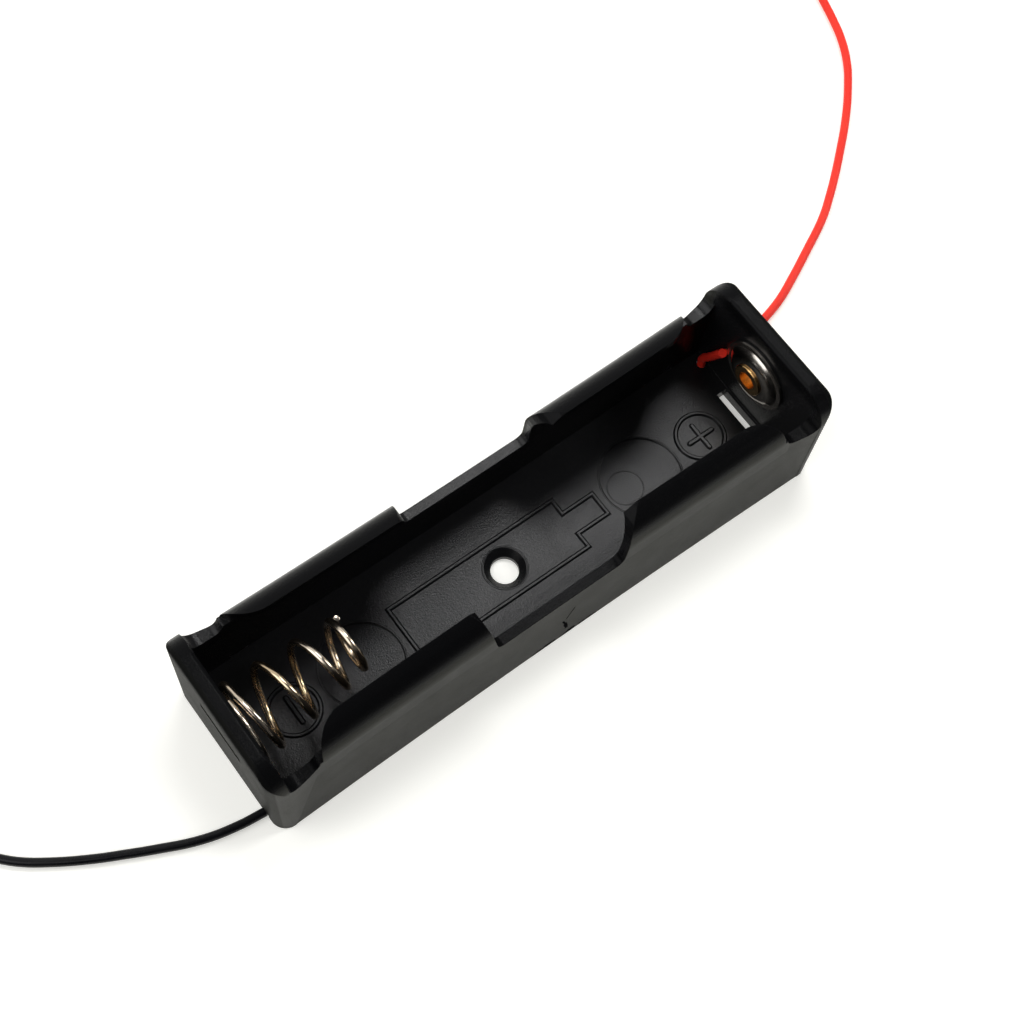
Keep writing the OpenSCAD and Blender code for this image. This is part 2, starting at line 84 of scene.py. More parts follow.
def make_camera():
    """Looks down on the tray from over its minus end and its near side, the one on the minus Y side."""
    flat = math.cos(CAMERA_ELEVATION)
    back = Vector((
        math.sin(CAMERA_AZIMUTH) * flat,
        -math.cos(CAMERA_AZIMUTH) * flat,
        math.sin(CAMERA_ELEVATION),
    ))
    level = (-back).cross(Vector((0, 0, 1))).normalized()
    upright = level.cross(-back)
    right = math.cos(CAMERA_ROLL) * level + math.sin(CAMERA_ROLL) * upright
    up = math.cos(CAMERA_ROLL) * upright - math.sin(CAMERA_ROLL) * level
    data = bpy.data.cameras.new("camera")
    data.lens = CAMERA_LENS
    data.sensor_width = CAMERA_SENSOR
    data.clip_start = CAMERA_NEAR
    data.clip_end = CAMERA_FAR
    camera = bpy.data.objects.new("camera", data)
    SCENE.collection.objects.link(camera)
    place = CAMERA_AIM + back * CAMERA_DISTANCE
    camera.matrix_world = Matrix.Translation(place) @ Matrix((right, up, back)).transposed().to_4x4()
    SCENE.camera = camera


make_camera()

# ---------------------------------------------------------------- material helpers

# Places of the Mix node's colour sockets, whose names other sockets have too.
MIX_FIRST = 6
MIX_SECOND = 7
MIX_RESULT = 2


class Shader:
    """A short way to wire up one procedural material."""

    def __init__(self, name):
        self.material = bpy.data.materials.new(name)
        self.material.use_nodes = True
        self.nodes = self.material.node_tree.nodes
        self.links = self.material.node_tree.links
        self.surface = self.nodes["Principled BSDF"]
        self.place = self.node("ShaderNodeTexCoord").outputs["Object"]

    def node(self, kind, **settings):
        made = self.nodes.new(kind)
        for key, value in settings.items():
            setattr(made, key, value)
        return made

    def set(self, **values):
        """Plain values of the surface, with an underscore for each space in a socket's name."""
        for key, value in values.items():
            self.surface.inputs[key.replace("_", " ")].default_value = value

    def link(self, source, socket):
        self.links.new(source, self.surface.inputs[socket])

    def noise(self, scale, detail=3.0, roughness=0.55, stretch=(1, 1, 1)):
        """Cloudy noise, with about as many lumps to a metre as its scale."""
        mapping = self.node("ShaderNodeMapping")
        mapping.inputs["Scale"].default_value = stretch
        self.links.new(self.place, mapping.inputs["Vector"])
        made = self.node("ShaderNodeTexNoise")
        made.inputs["Scale"].default_value = scale
        made.inputs["Detail"].default_value = detail
        made.inputs["Roughness"].default_value = roughness
        self.links.new(mapping.outputs["Vector"], made.inputs["Vector"])
        return made.outputs["Fac"]

    def span(self, source, low, high, to_low=0.0, to_high=1.0):
        """Goes from to_low to to_high as the source goes from low to high, and no further."""
        made = self.node("ShaderNodeMapRange")
        made.inputs["From Min"].default_value = low
        made.inputs["From Max"].default_value = high
        made.inputs["To Min"].default_value = to_low
        made.inputs["To Max"].default_value = to_high
        self.links.new(source, made.inputs["Value"])
        return made.outputs["Result"]

    def axes(self, source):
        """The X, Y and Z of a vector."""
        made = self.node("ShaderNodeSeparateXYZ")
        self.links.new(source, made.inputs[0])
        return tuple(made.outputs)

    def combine(self, kind, operation, first, second):
        """A node that works on one value or on two, each a plain one or another node's output."""
        made = self.node(kind, operation=operation)
        for socket, value in zip(made.inputs, (first, second)):
            if isinstance(value, bpy.types.NodeSocket):
                self.links.new(value, socket)
            elif value is not None:
                socket.default_value = value
        return made.outputs

    def math(self, operation, first, second=None):
        return self.combine("ShaderNodeMath", operation, first, second)["Value"]

    def vector(self, operation, first, second=None):
        gives = "Value" if operation in ("DOT_PRODUCT", "LENGTH") else "Vector"
        return self.combine("ShaderNodeVectorMath", operation, first, second)[gives]

    def mix(self, share, first, second):
        """A colour between two, each a tuple or another node's output."""
        made = self.node("ShaderNodeMix", data_type="RGBA")
        self.links.new(share, made.inputs["Factor"])
        for number, value in ((MIX_FIRST, first), (MIX_SECOND, second)):
            if isinstance(value, tuple):
                made.inputs[number].default_value = (*value, 1.0)
            else:
                self.links.new(value, made.inputs[number])
        return made.outputs[MIX_RESULT]

    def streak(self, start, end, width, raggedness):
        """A worn line from start to end: 1 in its middle, 0 away from it, with a ragged edge."""
        way = end - start
        from_start = self.vector("SUBTRACT", self.place, start)
        along = self.math("DIVIDE", self.vector("DOT_PRODUCT", from_start, way), way.length_squared)
        along = self.math("MINIMUM", self.math("MAXIMUM", along, 0.0), 1.0)
        nearest = self.node("ShaderNodeVectorMath", operation="SCALE")
        nearest.inputs[0].default_value = way
        self.links.new(along, nearest.inputs["Scale"])
        off = self.vector("LENGTH", self.vector("SUBTRACT", from_start, nearest.outputs["Vector"]))
        reach = self.math("MULTIPLY", raggedness, 2 * width)
        fade = 0.2 * width
        return self.span(self.math("SUBTRACT", off, reach), -fade, 0.0, 1.0, 0.0)

    def bump(self, height, distance, strength=1.0, after=None):
        """A relief as high as the distance, on top of another relief if one is given."""
        made = self.node("ShaderNodeBump")
        made.inputs["Strength"].default_value = strength
        made.inputs["Distance"].default_value = distance
        self.links.new(height, made.inputs["Height"])
        if after is not None:
            self.links.new(after, made.inputs["Normal"])
        return made.outputs["Normal"]


# ---------------------------------------------------------------- materials

PLASTIC_IOR = 1.3
OUTSIDE_IOR = 1.22               # of the tray's outer faces, which mirror less than its inside
BLACK_LOW = (0.0066, 0.0067, 0.0074)
BLACK_HIGH = (0.0080, 0.0081, 0.0088)
# painted shade: the near-black that the rims and the near lip's top are darkened towards
BLACK_PAINTED_SHADE = (0.0024, 0.0025, 0.0028)
WHITE = (1.0, 1.0, 1.0)
PAINTED_REFLECTION_TINT = (1.0, 0.99, 0.65)     # a painted warm cast on the outer faces' reflections, for the floor that they mirror
SHINE = 0.5                      # the usual strength of a plastic's reflections
EDGE_SOFTNESS = 0.1 * MM         # how round the tray's edges look
MARK_SOFTNESS = 0.02 * MM        # the same for the raised marks

# Where the tray's look changes, each from one distance to another: in from its sides, in from its
# ends, in from its near side, down from its top and up from the ground.
SIDE_SKIN = (1.6 * MM, 1.1 * MM)
END_SKIN = (0.7 * MM, 0.2 * MM)
NEAR_LIP = (2.8 * MM, 3.4 * MM)
RIM_DEPTH = (2.6 * MM, 1.4 * MM)
LIP_RISE = (3 * MM, 4 * MM)
FACING_UP = (0.3, 0.6)           # a normal's Z where a face is no longer upright, and where it is a top
RIM_PAINTED_SHADE = 0.75                   # painted shade: how far the rims and the near lip's top are darkened and lose their shine
LIP_PAINTED_SHADE = 0.8
SIDE_DULL = 0.25                 # how much rougher the outer sides and ends are
END_DULL = 0.35

WALL_FOOT = HALF_WIDTH - 0.39 * MM    # the walls' outer faces at the ground, at mid-length
WALL_LEAN = 0.6 / 10.7           # how far in they lean for each length up


def on_near_wall(x, z):
    """A place on the outer face of the wall on the minus Y side, in millimetres along it and up it."""
    return Vector((x * MM, WALL_LEAN * z * MM - WALL_FOOT, z * MM))


# Scuffs on that face: both ends and the width.
SCUFFS = [
    (on_near_wall(2.2, 6.7), on_near_wall(1.1, 4.8), 0.11 * MM),
    (on_near_wall(0.65, 4.5), on_near_wall(1.1, 3.3), 0.16 * MM),
    (on_near_wall(1.05, 3.4), on_near_wall(1.24, 2.1), 0.28 * MM),
    (on_near_wall(-3.4, 0.1), on_near_wall(-0.6, 0.4), 0.42 * MM),
    (on_near_wall(0.9, 0.1), on_near_wall(2.1, 0.5), 0.5 * MM),
    (on_near_wall(3.4, 0.1), on_near_wall(5.4, 0.2), 0.4 * MM),
    (on_near_wall(-27.6, 3.6), on_near_wall(-24.8, 3.9), 0.07 * MM),
]


def tray_regions(s):
    """How far a point is on the outer side faces, on the outer end faces, and in the painted shade on the
    rims and the near lip's top.
    """
    x, y, z = s.axes(s.place)
    normal_z = s.axes(s.node("ShaderNodeNewGeometry").outputs["Normal"])[2]
    upright = s.span(s.math("ABSOLUTE", normal_z), FACING_UP[0], FACING_UP[1], 1.0, 0.0)
    side = s.span(s.math("ABSOLUTE", y), HALF_WIDTH - SIDE_SKIN[0], HALF_WIDTH - SIDE_SKIN[1])
    side = s.math("MULTIPLY", side, upright)
    end = s.span(s.math("ABSOLUTE", x), HALF_LENGTH - END_SKIN[0], HALF_LENGTH - END_SKIN[1])
    # Painted shade: the rims near the top and the near lip's top are darkened.
    rim = s.span(z, TRAY_HIGH.z - RIM_DEPTH[0], TRAY_HIGH.z - RIM_DEPTH[1], 0.0, RIM_PAINTED_SHADE)
    lip = s.span(y, NEAR_LIP[0] - HALF_WIDTH, NEAR_LIP[1] - HALF_WIDTH, LIP_PAINTED_SHADE, 0.0)
    lip = s.math("MULTIPLY", lip, s.math("SUBTRACT", 1.0, upright))
    lip = s.math("MULTIPLY", lip, s.span(z, TRAY_LOW.z + LIP_RISE[0], TRAY_LOW.z + LIP_RISE[1]))
    return side, end, s.math("MAXIMUM", rim, lip)


def scuffed(s):
    """Where the near wall is worn."""
    fine = s.noise(2600.0, 4.0, 0.6)
    worn = None
    for start, end, width in SCUFFS:
        streak = s.streak(start, end, width, fine)
        worn = streak if worn is None else s.math("MAXIMUM", worn, streak)
    return worn


def black_plastic(name, softness):
    """Black moulding, glossy inside and satin outside, with painted shade on its rims and near lip and a
    painted
    warm tint on its outer reflections: a fine grain, slight flow marks, softened edges and a few scuffs
    on one side."""
    s = Shader(name)
    s.set(IOR=PLASTIC_IOR)
    side, end, painted_shade = tray_regions(s)
    outer = s.math("MAXIMUM", side, end)
    worn = scuffed(s)
    s.link(s.span(outer, 0.0, 1.0, PLASTIC_IOR, OUTSIDE_IOR), "IOR")
    flow = s.noise(70.0, 3.0, 0.5, stretch=(0.35, 1, 1))
    plain = s.mix(s.span(flow, 0.35, 0.65), BLACK_LOW, BLACK_HIGH)
    # Painted shade darkens the rims and the near lip's top here, and below it dulls their shine.
    s.link(s.mix(painted_shade, plain, BLACK_PAINTED_SHADE), "Base Color")
    shine = s.math("MULTIPLY", s.span(worn, 0.0, 1.0, SHINE, 0.0), s.math("SUBTRACT", 1.0, painted_shade))
    s.link(shine, "Specular IOR Level")
    # Painted reflection: the outer faces' reflections are tinted warm.
    s.link(s.mix(outer, WHITE, PAINTED_REFLECTION_TINT), "Specular Tint")
    gloss = s.span(s.noise(240.0, 5.0, 0.6), 0.3, 0.7, 0.19, 0.25)
    dull = s.math("ADD", s.math("MULTIPLY", side, SIDE_DULL), s.math("MULTIPLY", end, END_DULL))
    s.link(s.math("ADD", gloss, s.math("MINIMUM", dull, END_DULL)), "Roughness")
    soft = s.node("ShaderNodeBevel", samples=6)
    soft.inputs["Radius"].default_value = softness
    waves = s.bump(s.noise(190.0, 2.0), 0.02 * MM, 0.25, after=soft.outputs["Normal"])
    grain = s.bump(s.noise(5000.0, 3.0, 0.6), 0.04 * MM, 0.8, after=waves)
    s.link(s.bump(worn, -0.05 * MM, 0.8, after=grain), "Normal")
    return s.material


def nickel():
    """Bright nickel plating with a warm cast and a fine grain."""
    s = Shader("nickel_sheet")
    s.set(Metallic=1.0)
    cloud = s.noise(260.0, 3.0, 0.5)
    s.link(s.mix(s.span(cloud, 0.4, 0.7), (0.62, 0.58, 0.53), (0.54, 0.49, 0.43)), "Base Color")
    s.link(s.span(s.noise(700.0, 4.0, 0.6), 0.3, 0.75, 0.16, 0.24), "Roughness")
    s.link(s.bump(s.noise(2500.0, 2.0), 0.004 * MM, 0.4), "Normal")
    return s.material


def spring_wire():
    """Plated spring wire: smooth, with a golden tint in places and a faint grain."""
    s = Shader("spring_wire")
    s.set(Metallic=1.0)
    tint = s.noise(90.0, 1.0, 0.5)
    s.link(s.mix(s.span(tint, 0.40, 0.66), (0.68, 0.60, 0.50), (0.60, 0.46, 0.29)), "Base Color")
    s.link(s.span(s.noise(150.0, 1.0), 0.3, 0.7, 0.20, 0.24), "Roughness")
    s.link(s.bump(s.noise(3000.0, 2.0), 0.0005 * MM, 0.2), "Normal")
    return s.material


def brass():
    """Rolled brass, a little darker where it has tarnished."""
    s = Shader("eyelet_brass")
    s.set(Metallic=1.0)
    tarnish = s.noise(500.0, 4.0, 0.6)
    s.link(s.mix(s.span(tarnish, 0.38, 0.7), (0.84, 0.56, 0.25), (0.58, 0.34, 0.14)), "Base Color")
    s.link(s.span(tarnish, 0.3, 0.7, 0.16, 0.26), "Roughness")
    s.link(s.bump(s.noise(2500.0, 3.0), 0.005 * MM, 0.4), "Normal")
    return s.material


def copper():
    """Fine bare strands."""
    s = Shader("bare_copper")
    s.set(Metallic=1.0)
    s.link(s.mix(s.noise(2500.0, 3.0), (0.80, 0.46, 0.28), (0.62, 0.30, 0.16)), "Base Color")
    s.link(s.span(s.noise(1800.0), 0.3, 0.7, 0.22, 0.36), "Roughness")
    return s.material


def tin():
    """Solder and tinned strands, slightly grainy."""
    s = Shader("solder")
    s.set(Metallic=1.0)
    grain = s.noise(2600.0, 5.0, 0.6)
    s.link(s.mix(s.span(grain, 0.35, 0.7), (0.78, 0.78, 0.77), (0.60, 0.59, 0.57)), "Base Color")
    s.link(s.span(grain, 0.3, 0.7, 0.22, 0.38), "Roughness")
    s.link(s.bump(grain, 0.01 * MM, 0.5), "Normal")
    return s.material


def insulation(name, colour, deep, roughness):
    """Smooth extruded insulation with a faint unevenness."""
    s = Shader(name)
    s.set(IOR=PLASTIC_IOR)
    stain = s.noise(220.0, 3.0, 0.5)
    s.link(s.mix(s.span(stain, 0.35, 0.72), colour, deep), "Base Color")
    s.link(s.span(s.noise(500.0, 3.0), 0.3, 0.7, roughness - 0.04, roughness + 0.05), "Roughness")
    s.link(s.bump(s.noise(900.0, 3.0), 0.01 * MM, 0.3), "Normal")
    return s.material


MATERIALS = {
    "black_moulding": black_plastic("black_moulding", EDGE_SOFTNESS),
    "nickel_sheet": nickel(),
    "spring_wire": spring_wire(),
    "eyelet_brass": brass(),
    "bare_copper": copper(),
    "solder": tin(),
    "red_insulation": insulation("red_insulation", (0.98, 0.042, 0.024), (0.94, 0.035, 0.020), 0.45),
    "black_insulation": insulation(
        "black_insulation", (0.0020, 0.0020, 0.0030), (0.0035, 0.0036, 0.0050), 0.28
    ),
}


def wear(piece, slot):
    """Gives a piece the material that is kept under a slot's name."""
    piece.data.materials.clear()
    piece.data.materials.append(MATERIALS[slot])


# ---------------------------------------------------------------- leads

LEAD_D = 1.1 * MM
CORE_D = 0.6 * MM
LEAD_INSET = 3.1 * MM            # from the tray's side to a lead's notch
BARE_LENGTH = 0.004
COIL_POINTS = 24                 # points to each turn
LEAD_Y = HALF_WIDTH - LEAD_INSET

# Each lead's way over the ground, from its notch.
RED_RUN = [
    (0, 0), (0.0025, 0), (0.0059, 0.0003), (0.0092, 0.001), (0.0121, 0.0019), (0.0148, 0.0031),
    (0.0175, 0.0044), (0.0201, 0.0057), (0.0227, 0.007), (0.0251, 0.0084), (0.0272, 0.0099),
    (0.0292, 0.0114), (0.033, 0.0145), (0.037, 0.018), (0.0404, 0.0215), (0.0429, 0.0246),
    (0.0448, 0.028), (0.046, 0.0312), (0.047, 0.0345), (0.0482, 0.0385), (0.0492, 0.0425),
    (0.0498, 0.0455), (0.05, 0.0485),
]
RED_ROUTE = [(HALF_LENGTH + x, LEAD_Y + y) for x, y in RED_RUN]
RED_COIL_R = 7.1 * MM
RED_TURNS = 1.95

BLACK_RUN = [
    (0, 0), (-0.0032, 0.0004), (-0.0072, 0.0014), (-0.0122, 0.0036), (-0.015, 0.005),
    (-0.0177, 0.0064), (-0.0221, 0.0091), (-0.0245, 0.0109), (-0.0261, 0.0125), (-0.028, 0.0148),
    (-0.0296, 0.0175), (-0.0307, 0.0205), (-0.0311, 0.0235),
]
BLACK_ROUTE = [(x - HALF_LENGTH, y - LEAD_Y) for x, y in BLACK_RUN]
BLACK_COIL_R = 7.6 * MM
BLACK_TURNS = 2.86

# Inside the tray each lead comes up beside the end wall and runs straight to its top.
RISE_X = INNER_HALF - 0.7 * MM
TOP_TURN = math.radians(-20)
RED_REACH = 5.35 * MM
BLACK_REACH = 6.805 * MM


def lead_top(reach, middle_y, middle_z):
    """The end of an inner lead, at some distance from the middle of the disc or of the base turn."""
    return Vector((RISE_X, reach * math.cos(TOP_TURN) + middle_y, middle_z + reach * math.sin(TOP_TURN)))


RED_TOP = lead_top(RED_REACH, 0, CONTACT_Z)
BLACK_TOP = lead_top(BLACK_REACH, -SPRING_Y, SPRING_Z)


def inner_route(top):
    """A lead's way inside the tray, from its notch to its top. It is drawn for the plus end, and the
    minus end's is turned half round."""
    low = LEAD_D / 2
    bend = Vector((RISE_X, LEAD_Y, 3.3 * MM))
    start = [
        (HALF_LENGTH, 0), (INNER_HALF + 0.8 * MM, 0), (INNER_HALF + 0.1 * MM, 0.08 * MM),
        (RISE_X + 0.32 * MM, 0.32 * MM), (RISE_X + 0.01 * MM, 0.8 * MM), (RISE_X, 1.7 * MM),
    ]
    climb = [bend, bend.lerp(top, 1 / 3), bend.lerp(top, 2 / 3), top]
    return [Vector((x, LEAD_Y, low + up)) for x, up in start] + climb


def turned(points):
    """The same points, turned half round about Z."""
    return [(-x, -y, z) for x, y, z in points]


def smooth_curve(name, points, radius, ring=5, steps=6):
    """A round tube on one open spline that passes through the points."""
    data = bpy.data.curves.new(name, "CURVE")
    data.dimensions = "3D"
    data.bevel_depth = radius
    data.bevel_resolution = ring
    data.resolution_u = steps
    data.use_fill_caps = True
    spline = data.splines.new("BEZIER")
    spline.bezier_points.add(len(points) - 1)
    for knot, point in zip(spline.bezier_points, points):
        knot.co = point
        knot.handle_left_type = knot.handle_right_type = "AUTO"
    piece = bpy.data.objects.new(name, data)
    SCENE.collection.objects.link(piece)
    return piece


def spiral(route, coil_r, first_turn, last_turn):
    """Points of a flat spiral that goes on from the end of a route, a lead's width to each turn."""
    centre_x, centre_y = route[-1][0] - coil_r, route[-1][1]
    count = max(2, round((last_turn - first_turn) * COIL_POINTS))
    points = []
    for i in range(count + 1):
        turn = first_turn + (last_turn - first_turn) * i / count
        r = coil_r - LEAD_D * turn
        angle = 2 * math.pi * turn
        points.append((centre_x + r * math.cos(angle), centre_y + r * math.sin(angle), LEAD_D / 2))
    return points


def make_lead(colour, route, coil_r, turns, top, at_plus):
    """One lead: its free stretch with the stored coil, its bare tip and its stretch inside the tray."""
    slot = f"{colour}_insulation"
    on_ground = [(x, y, LEAD_D / 2) for x, y in route]
    outside = on_ground + spiral(route, coil_r, 0, turns)[1:]
    lead = smooth_curve(f"{colour}_lead_outside", outside, LEAD_D / 2)
    wear(lead, slot)
    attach(lead, "holder")
    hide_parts(f"{colour}_lead", f"{colour}_lead_coil")

    end_r = coil_r - turns * LEAD_D
    end_turns = turns + BARE_LENGTH / (2 * math.pi * end_r)
    tip = smooth_curve(f"{colour}_lead_tip", spiral(route, coil_r, turns, end_turns), CORE_D / 2, ring=3)
    wear(tip, "solder")
    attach(tip, "holder")
    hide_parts(f"{colour}_lead_end")

    inside = inner_route(top)
    if not at_plus:
        inside = turned(inside)
    stub = smooth_curve(f"{colour}_lead_inside", inside, LEAD_D / 2, steps=10)
    wear(stub, slot)
    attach(stub, "holder")
    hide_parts(f"{colour}_lead_inner")


make_lead("red", RED_ROUTE, RED_COIL_R, RED_TURNS, RED_TOP, True)
make_lead("black", BLACK_ROUTE, BLACK_COIL_R, BLACK_TURNS, BLACK_TOP, False)

# ---------------------------------------------------------------- mesh helpers


def solid(name, points, faces, smooth=True):
    """A mesh piece from its points and its faces."""
    mesh = bpy.data.meshes.new(name)
    mesh.from_pydata(points, [], faces)
    mesh.validate()
    mesh.update()
    mesh.polygons.foreach_set("use_smooth", [smooth] * len(mesh.polygons))
    piece = bpy.data.objects.new(name, mesh)
    SCENE.collection.objects.link(piece)
    return piece


def banded(rings):
    """Faces between rings of points, each ring joined to the next."""
    count = len(rings[0])
    faces = []
    for i in range(len(rings) - 1):
        near, far = i * count, (i + 1) * count
        for k in range(count):
            after = (k + 1) % count
            faces.append([near + k, near + after, far + after, far + k])
    return faces


def capped(rings):
    """The faces that close the first and the last ring."""
    count = len(rings[0])
    last = (len(rings) - 1) * count
    return [list(reversed(range(count))), [last + k for k in range(count)]]


# ---------------------------------------------------------------- spring

WIRE_D = 0.85 * MM
SPRING_BASE_R = 4.58 * MM
SPRING_TIP_R = 2.95 * MM
SPRING_LEAN = Vector((0, 0.75, 0.45)) * MM
BASE_TURNS = 1.0
OPEN_TURNS = 2.8
TIP_TURNS = 1.04
ALL_TURNS = BASE_TURNS + OPEN_TURNS + TIP_TURNS
OPEN_PITCH = 4.67 * MM
CLOSED_PITCH = 0.95 * MM
SPRING_LOW, SPRING_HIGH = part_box("negative_spring")
SPRING_FOOT = Vector((SPRING_LOW.x + WIRE_D / 2, SPRING_Y, SPRING_Z))
SPRING_START = math.radians(70.6)
RINGS_PER_TURN = 44
WIRE_SIDES = 20
END_ROUND = 0.12 * MM            # rounding of the wire's cut ends


def spring_point(turn):
    """The wire's middle after some turns, closed at the base and at the tip and open in between."""
    opened = min(max(turn - BASE_TURNS, 0), OPEN_TURNS)
    out = max(turn - BASE_TURNS, 0) / (ALL_TURNS - BASE_TURNS)
    r = SPRING_BASE_R + (SPRING_TIP_R - SPRING_BASE_R) * out
    angle = SPRING_START + 2 * math.pi * turn
    run = OPEN_PITCH * opened + CLOSED_PITCH * (turn - opened)
    return SPRING_FOOT + SPRING_LEAN * out + Vector((run, r * math.cos(angle), r * math.sin(angle)))


def tube_mesh(name, path, radii, sides):
    """A closed round tube with a ring of its own radius at each point of a path."""
    turns = [2 * math.pi * k / sides for k in range(sides)]
    rings = []
    for i, (point, r) in enumerate(zip(path, radii)):
        along = (path[min(i + 1, len(path) - 1)] - path[max(i - 1, 0)]).normalized()
        side = Vector((1, 0, 0)).cross(along).normalized()
        up = along.cross(side)
        rings.append([point + r * (math.cos(t) * side + math.sin(t) * up) for t in turns])
    return solid(name, [p for ring in rings for p in ring], capped(rings) + banded(rings))


def make_spring():
    """The wire spring, one tube with rounded cut ends."""
    count = round(ALL_TURNS * RINGS_PER_TURN)
    middle = [spring_point(ALL_TURNS * i / count) for i in range(count + 1)]
    full = WIRE_D / 2
    first_way = (middle[1] - middle[0]).normalized()
    last_way = (middle[-1] - middle[-2]).normalized()
    # The two cut ends are rounded by three narrowing rings each.
    steps = [math.radians(a) for a in (90, 60, 30)]
    start = [middle[0] + first_way * END_ROUND * (1 - math.sin(a)) for a in steps]
    end = [middle[-1] - last_way * END_ROUND * (1 - math.sin(a)) for a in reversed(steps)]
    narrow = [full - END_ROUND * (1 - math.cos(a)) for a in steps]
    path = start + middle[1:-1] + end
    radii = narrow + [full] * (count - 1) + narrow[::-1]
    spring = tube_mesh("spring_coil", path, radii, WIRE_SIDES)
    wear(spring, "spring_wire")
    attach(spring, "spring")
    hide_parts("negative_spring")
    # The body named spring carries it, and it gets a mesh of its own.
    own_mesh(spring)


make_spring()

# ---------------------------------------------------------------- raised marks on the floor

MARK_MATERIAL = black_plastic("black_marks", MARK_SOFTNESS)
CIRCLE_POINTS = 72
ARM_STEPS = 8                    # steps of the half circle at a sign's arm

RIB_HEIGHT = 0.24 * MM
RIB_SUNK = 0.05 * MM             # how far a mark's foot reaches into the floor
RIB_FLANK = 0.24 * MM            # how far a sign's flank leans in
RIB_STEP = 0.4 * MM

POLE_X = 29.55 * MM              # the circled signs at both ends
POLE_R = 3.0 * MM
POLE_LINE = 0.70 * MM
SIGN_HALF = 2.1 * MM
SIGN_WIDTH = 0.80 * MM
PLUS_SHIFT = Vector((0, 0.1 * MM))

PIN_X = 20.3 * MM                # the fine rims at the pin marks and at the screw hole
PIN_R = 5.15 * MM
HOLE_RIM_R = 2.7 * MM
RIM_WIDTH = 0.36 * MM
RIM_HEIGHT = 0.045 * MM

GATE_PLACE = Vector((17.9, -0.1)) * MM    # the ring in the pin mark at the plus end
GATE_R = 2.2 * MM
GATE_LINE = 0.3 * MM
GATE_HEIGHT = 0.03 * MM

CELL_TAIL = -14.15 * MM          # the plain outline of a cell
CELL_SHOULDER = 9.6 * MM
CELL_NUB = 14.1 * MM
CELL_HALF = 3.6 * MM
NUB_HALF = 1.55 * MM
CELL_LINE = 0.72 * MM


def floor_at(y):
    """The height of the shallow trough."""
    return FLOOR_THICK + TROUGH_RADIUS - math.sqrt(TROUGH_RADIUS ** 2 - y * y)


def pin_floor(_):
    """The height of the flat bottom of a pin mark."""
    return FLOOR_THICK - PIN_DEPTH


def circle(centre, r):
    turns = [2 * math.pi * k / CIRCLE_POINTS for k in range(CIRCLE_POINTS)]
    return [centre + r * Vector((math.cos(t), math.sin(t))) for t in turns]


def cell_shape():
    """A cell with its nub towards the plus end, anticlockwise from the tail's near corner."""
    near_half = [(CELL_TAIL, -CELL_HALF), (CELL_SHOULDER, -CELL_HALF), (CELL_SHOULDER, -NUB_HALF),
                 (CELL_NUB, -NUB_HALF)]
    far_half = [(x, -y) for x, y in reversed(near_half)]
    return [Vector(p) for p in near_half + far_half]


def stepped(corners):
    """The same outline with points along its long sides, so that it can follow the trough."""
    points = []
    for start, end in zip(corners, corners[1:] + corners[:1]):
        count = max(1, math.ceil((end - start).length / RIB_STEP))
        points += [start.lerp(end, i / count) for i in range(count)]
    return points


def widened(outline, distance):
    """An outline that runs anticlockwise, moved outwards by a distance, with mitred corners."""
    moved = []
    for i, point in enumerate(outline):
        before = (point - outline[i - 1]).normalized()
        after = (outline[(i + 1) % len(outline)] - point).normalized()
        out = Vector((before.y + after.y, -before.x - after.x))
        moved.append(point + out * (2 * distance / out.length_squared))
    return moved


def at_height(outline, height, floor=floor_at):
    return [Vector((p.x, p.y, floor(p.y) + height)) for p in outline]


def raised_line(name, outline, width, height=RIB_HEIGHT, floor=floor_at):
    """A low rib along a closed outline, with leaning flanks."""
    outline = stepped(outline)
    half = width / 2
    crest = min(width / 6, height)    # half the width of the flat top
    rings = [
        at_height(widened(outline, half), -RIB_SUNK, floor),
        at_height(widened(outline, crest), height, floor),
        at_height(widened(outline, -crest), height, floor),
        at_height(widened(outline, -half), -RIB_SUNK, floor),
    ]
    # The last band of faces joins the last ring back to the first.
    count = len(outline) * len(rings)
    faces = [[k % count for k in face] for face in banded(rings + rings[:1])]
    finish_mark(name, rings, faces)


def raised_sign(name, outline):
    """A low raised shape that fills an outline."""
    rings = [at_height(outline, -RIB_SUNK), at_height(widened(outline, -RIB_FLANK), RIB_HEIGHT)]
    finish_mark(name, rings, banded(rings) + capped(rings))


def finish_mark(name, rings, faces):
    """Makes the mark a piece of the moulding, with edges that look sharper than the tray's."""
    mark = solid(name, [p for ring in rings for p in ring], faces, smooth=False)
    wear(mark, "black_moulding")
    mark.data.materials[0] = MARK_MATERIAL
    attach(mark, "holder")


def arm_outline(centre, arms):
    """Outline of a sign whose arms, at the given angles, end in half circles."""
    half = SIGN_WIDTH / 2
    points = []
    for arm in arms:
        ahead = Vector((math.cos(arm), math.sin(arm)))
        aside = Vector((-ahead.y, ahead.x))
        if len(arms) > 2:
            # The inner corner between this arm and the one before.
            points.append(centre + half * (ahead - aside))
        for k in range(ARM_STEPS + 1):
            bend = math.pi * (k / ARM_STEPS - 0.5)
            forward = SIGN_HALF - half + half * math.cos(bend)
            points.append(centre + ahead * forward + aside * half * math.sin(bend))
    return points


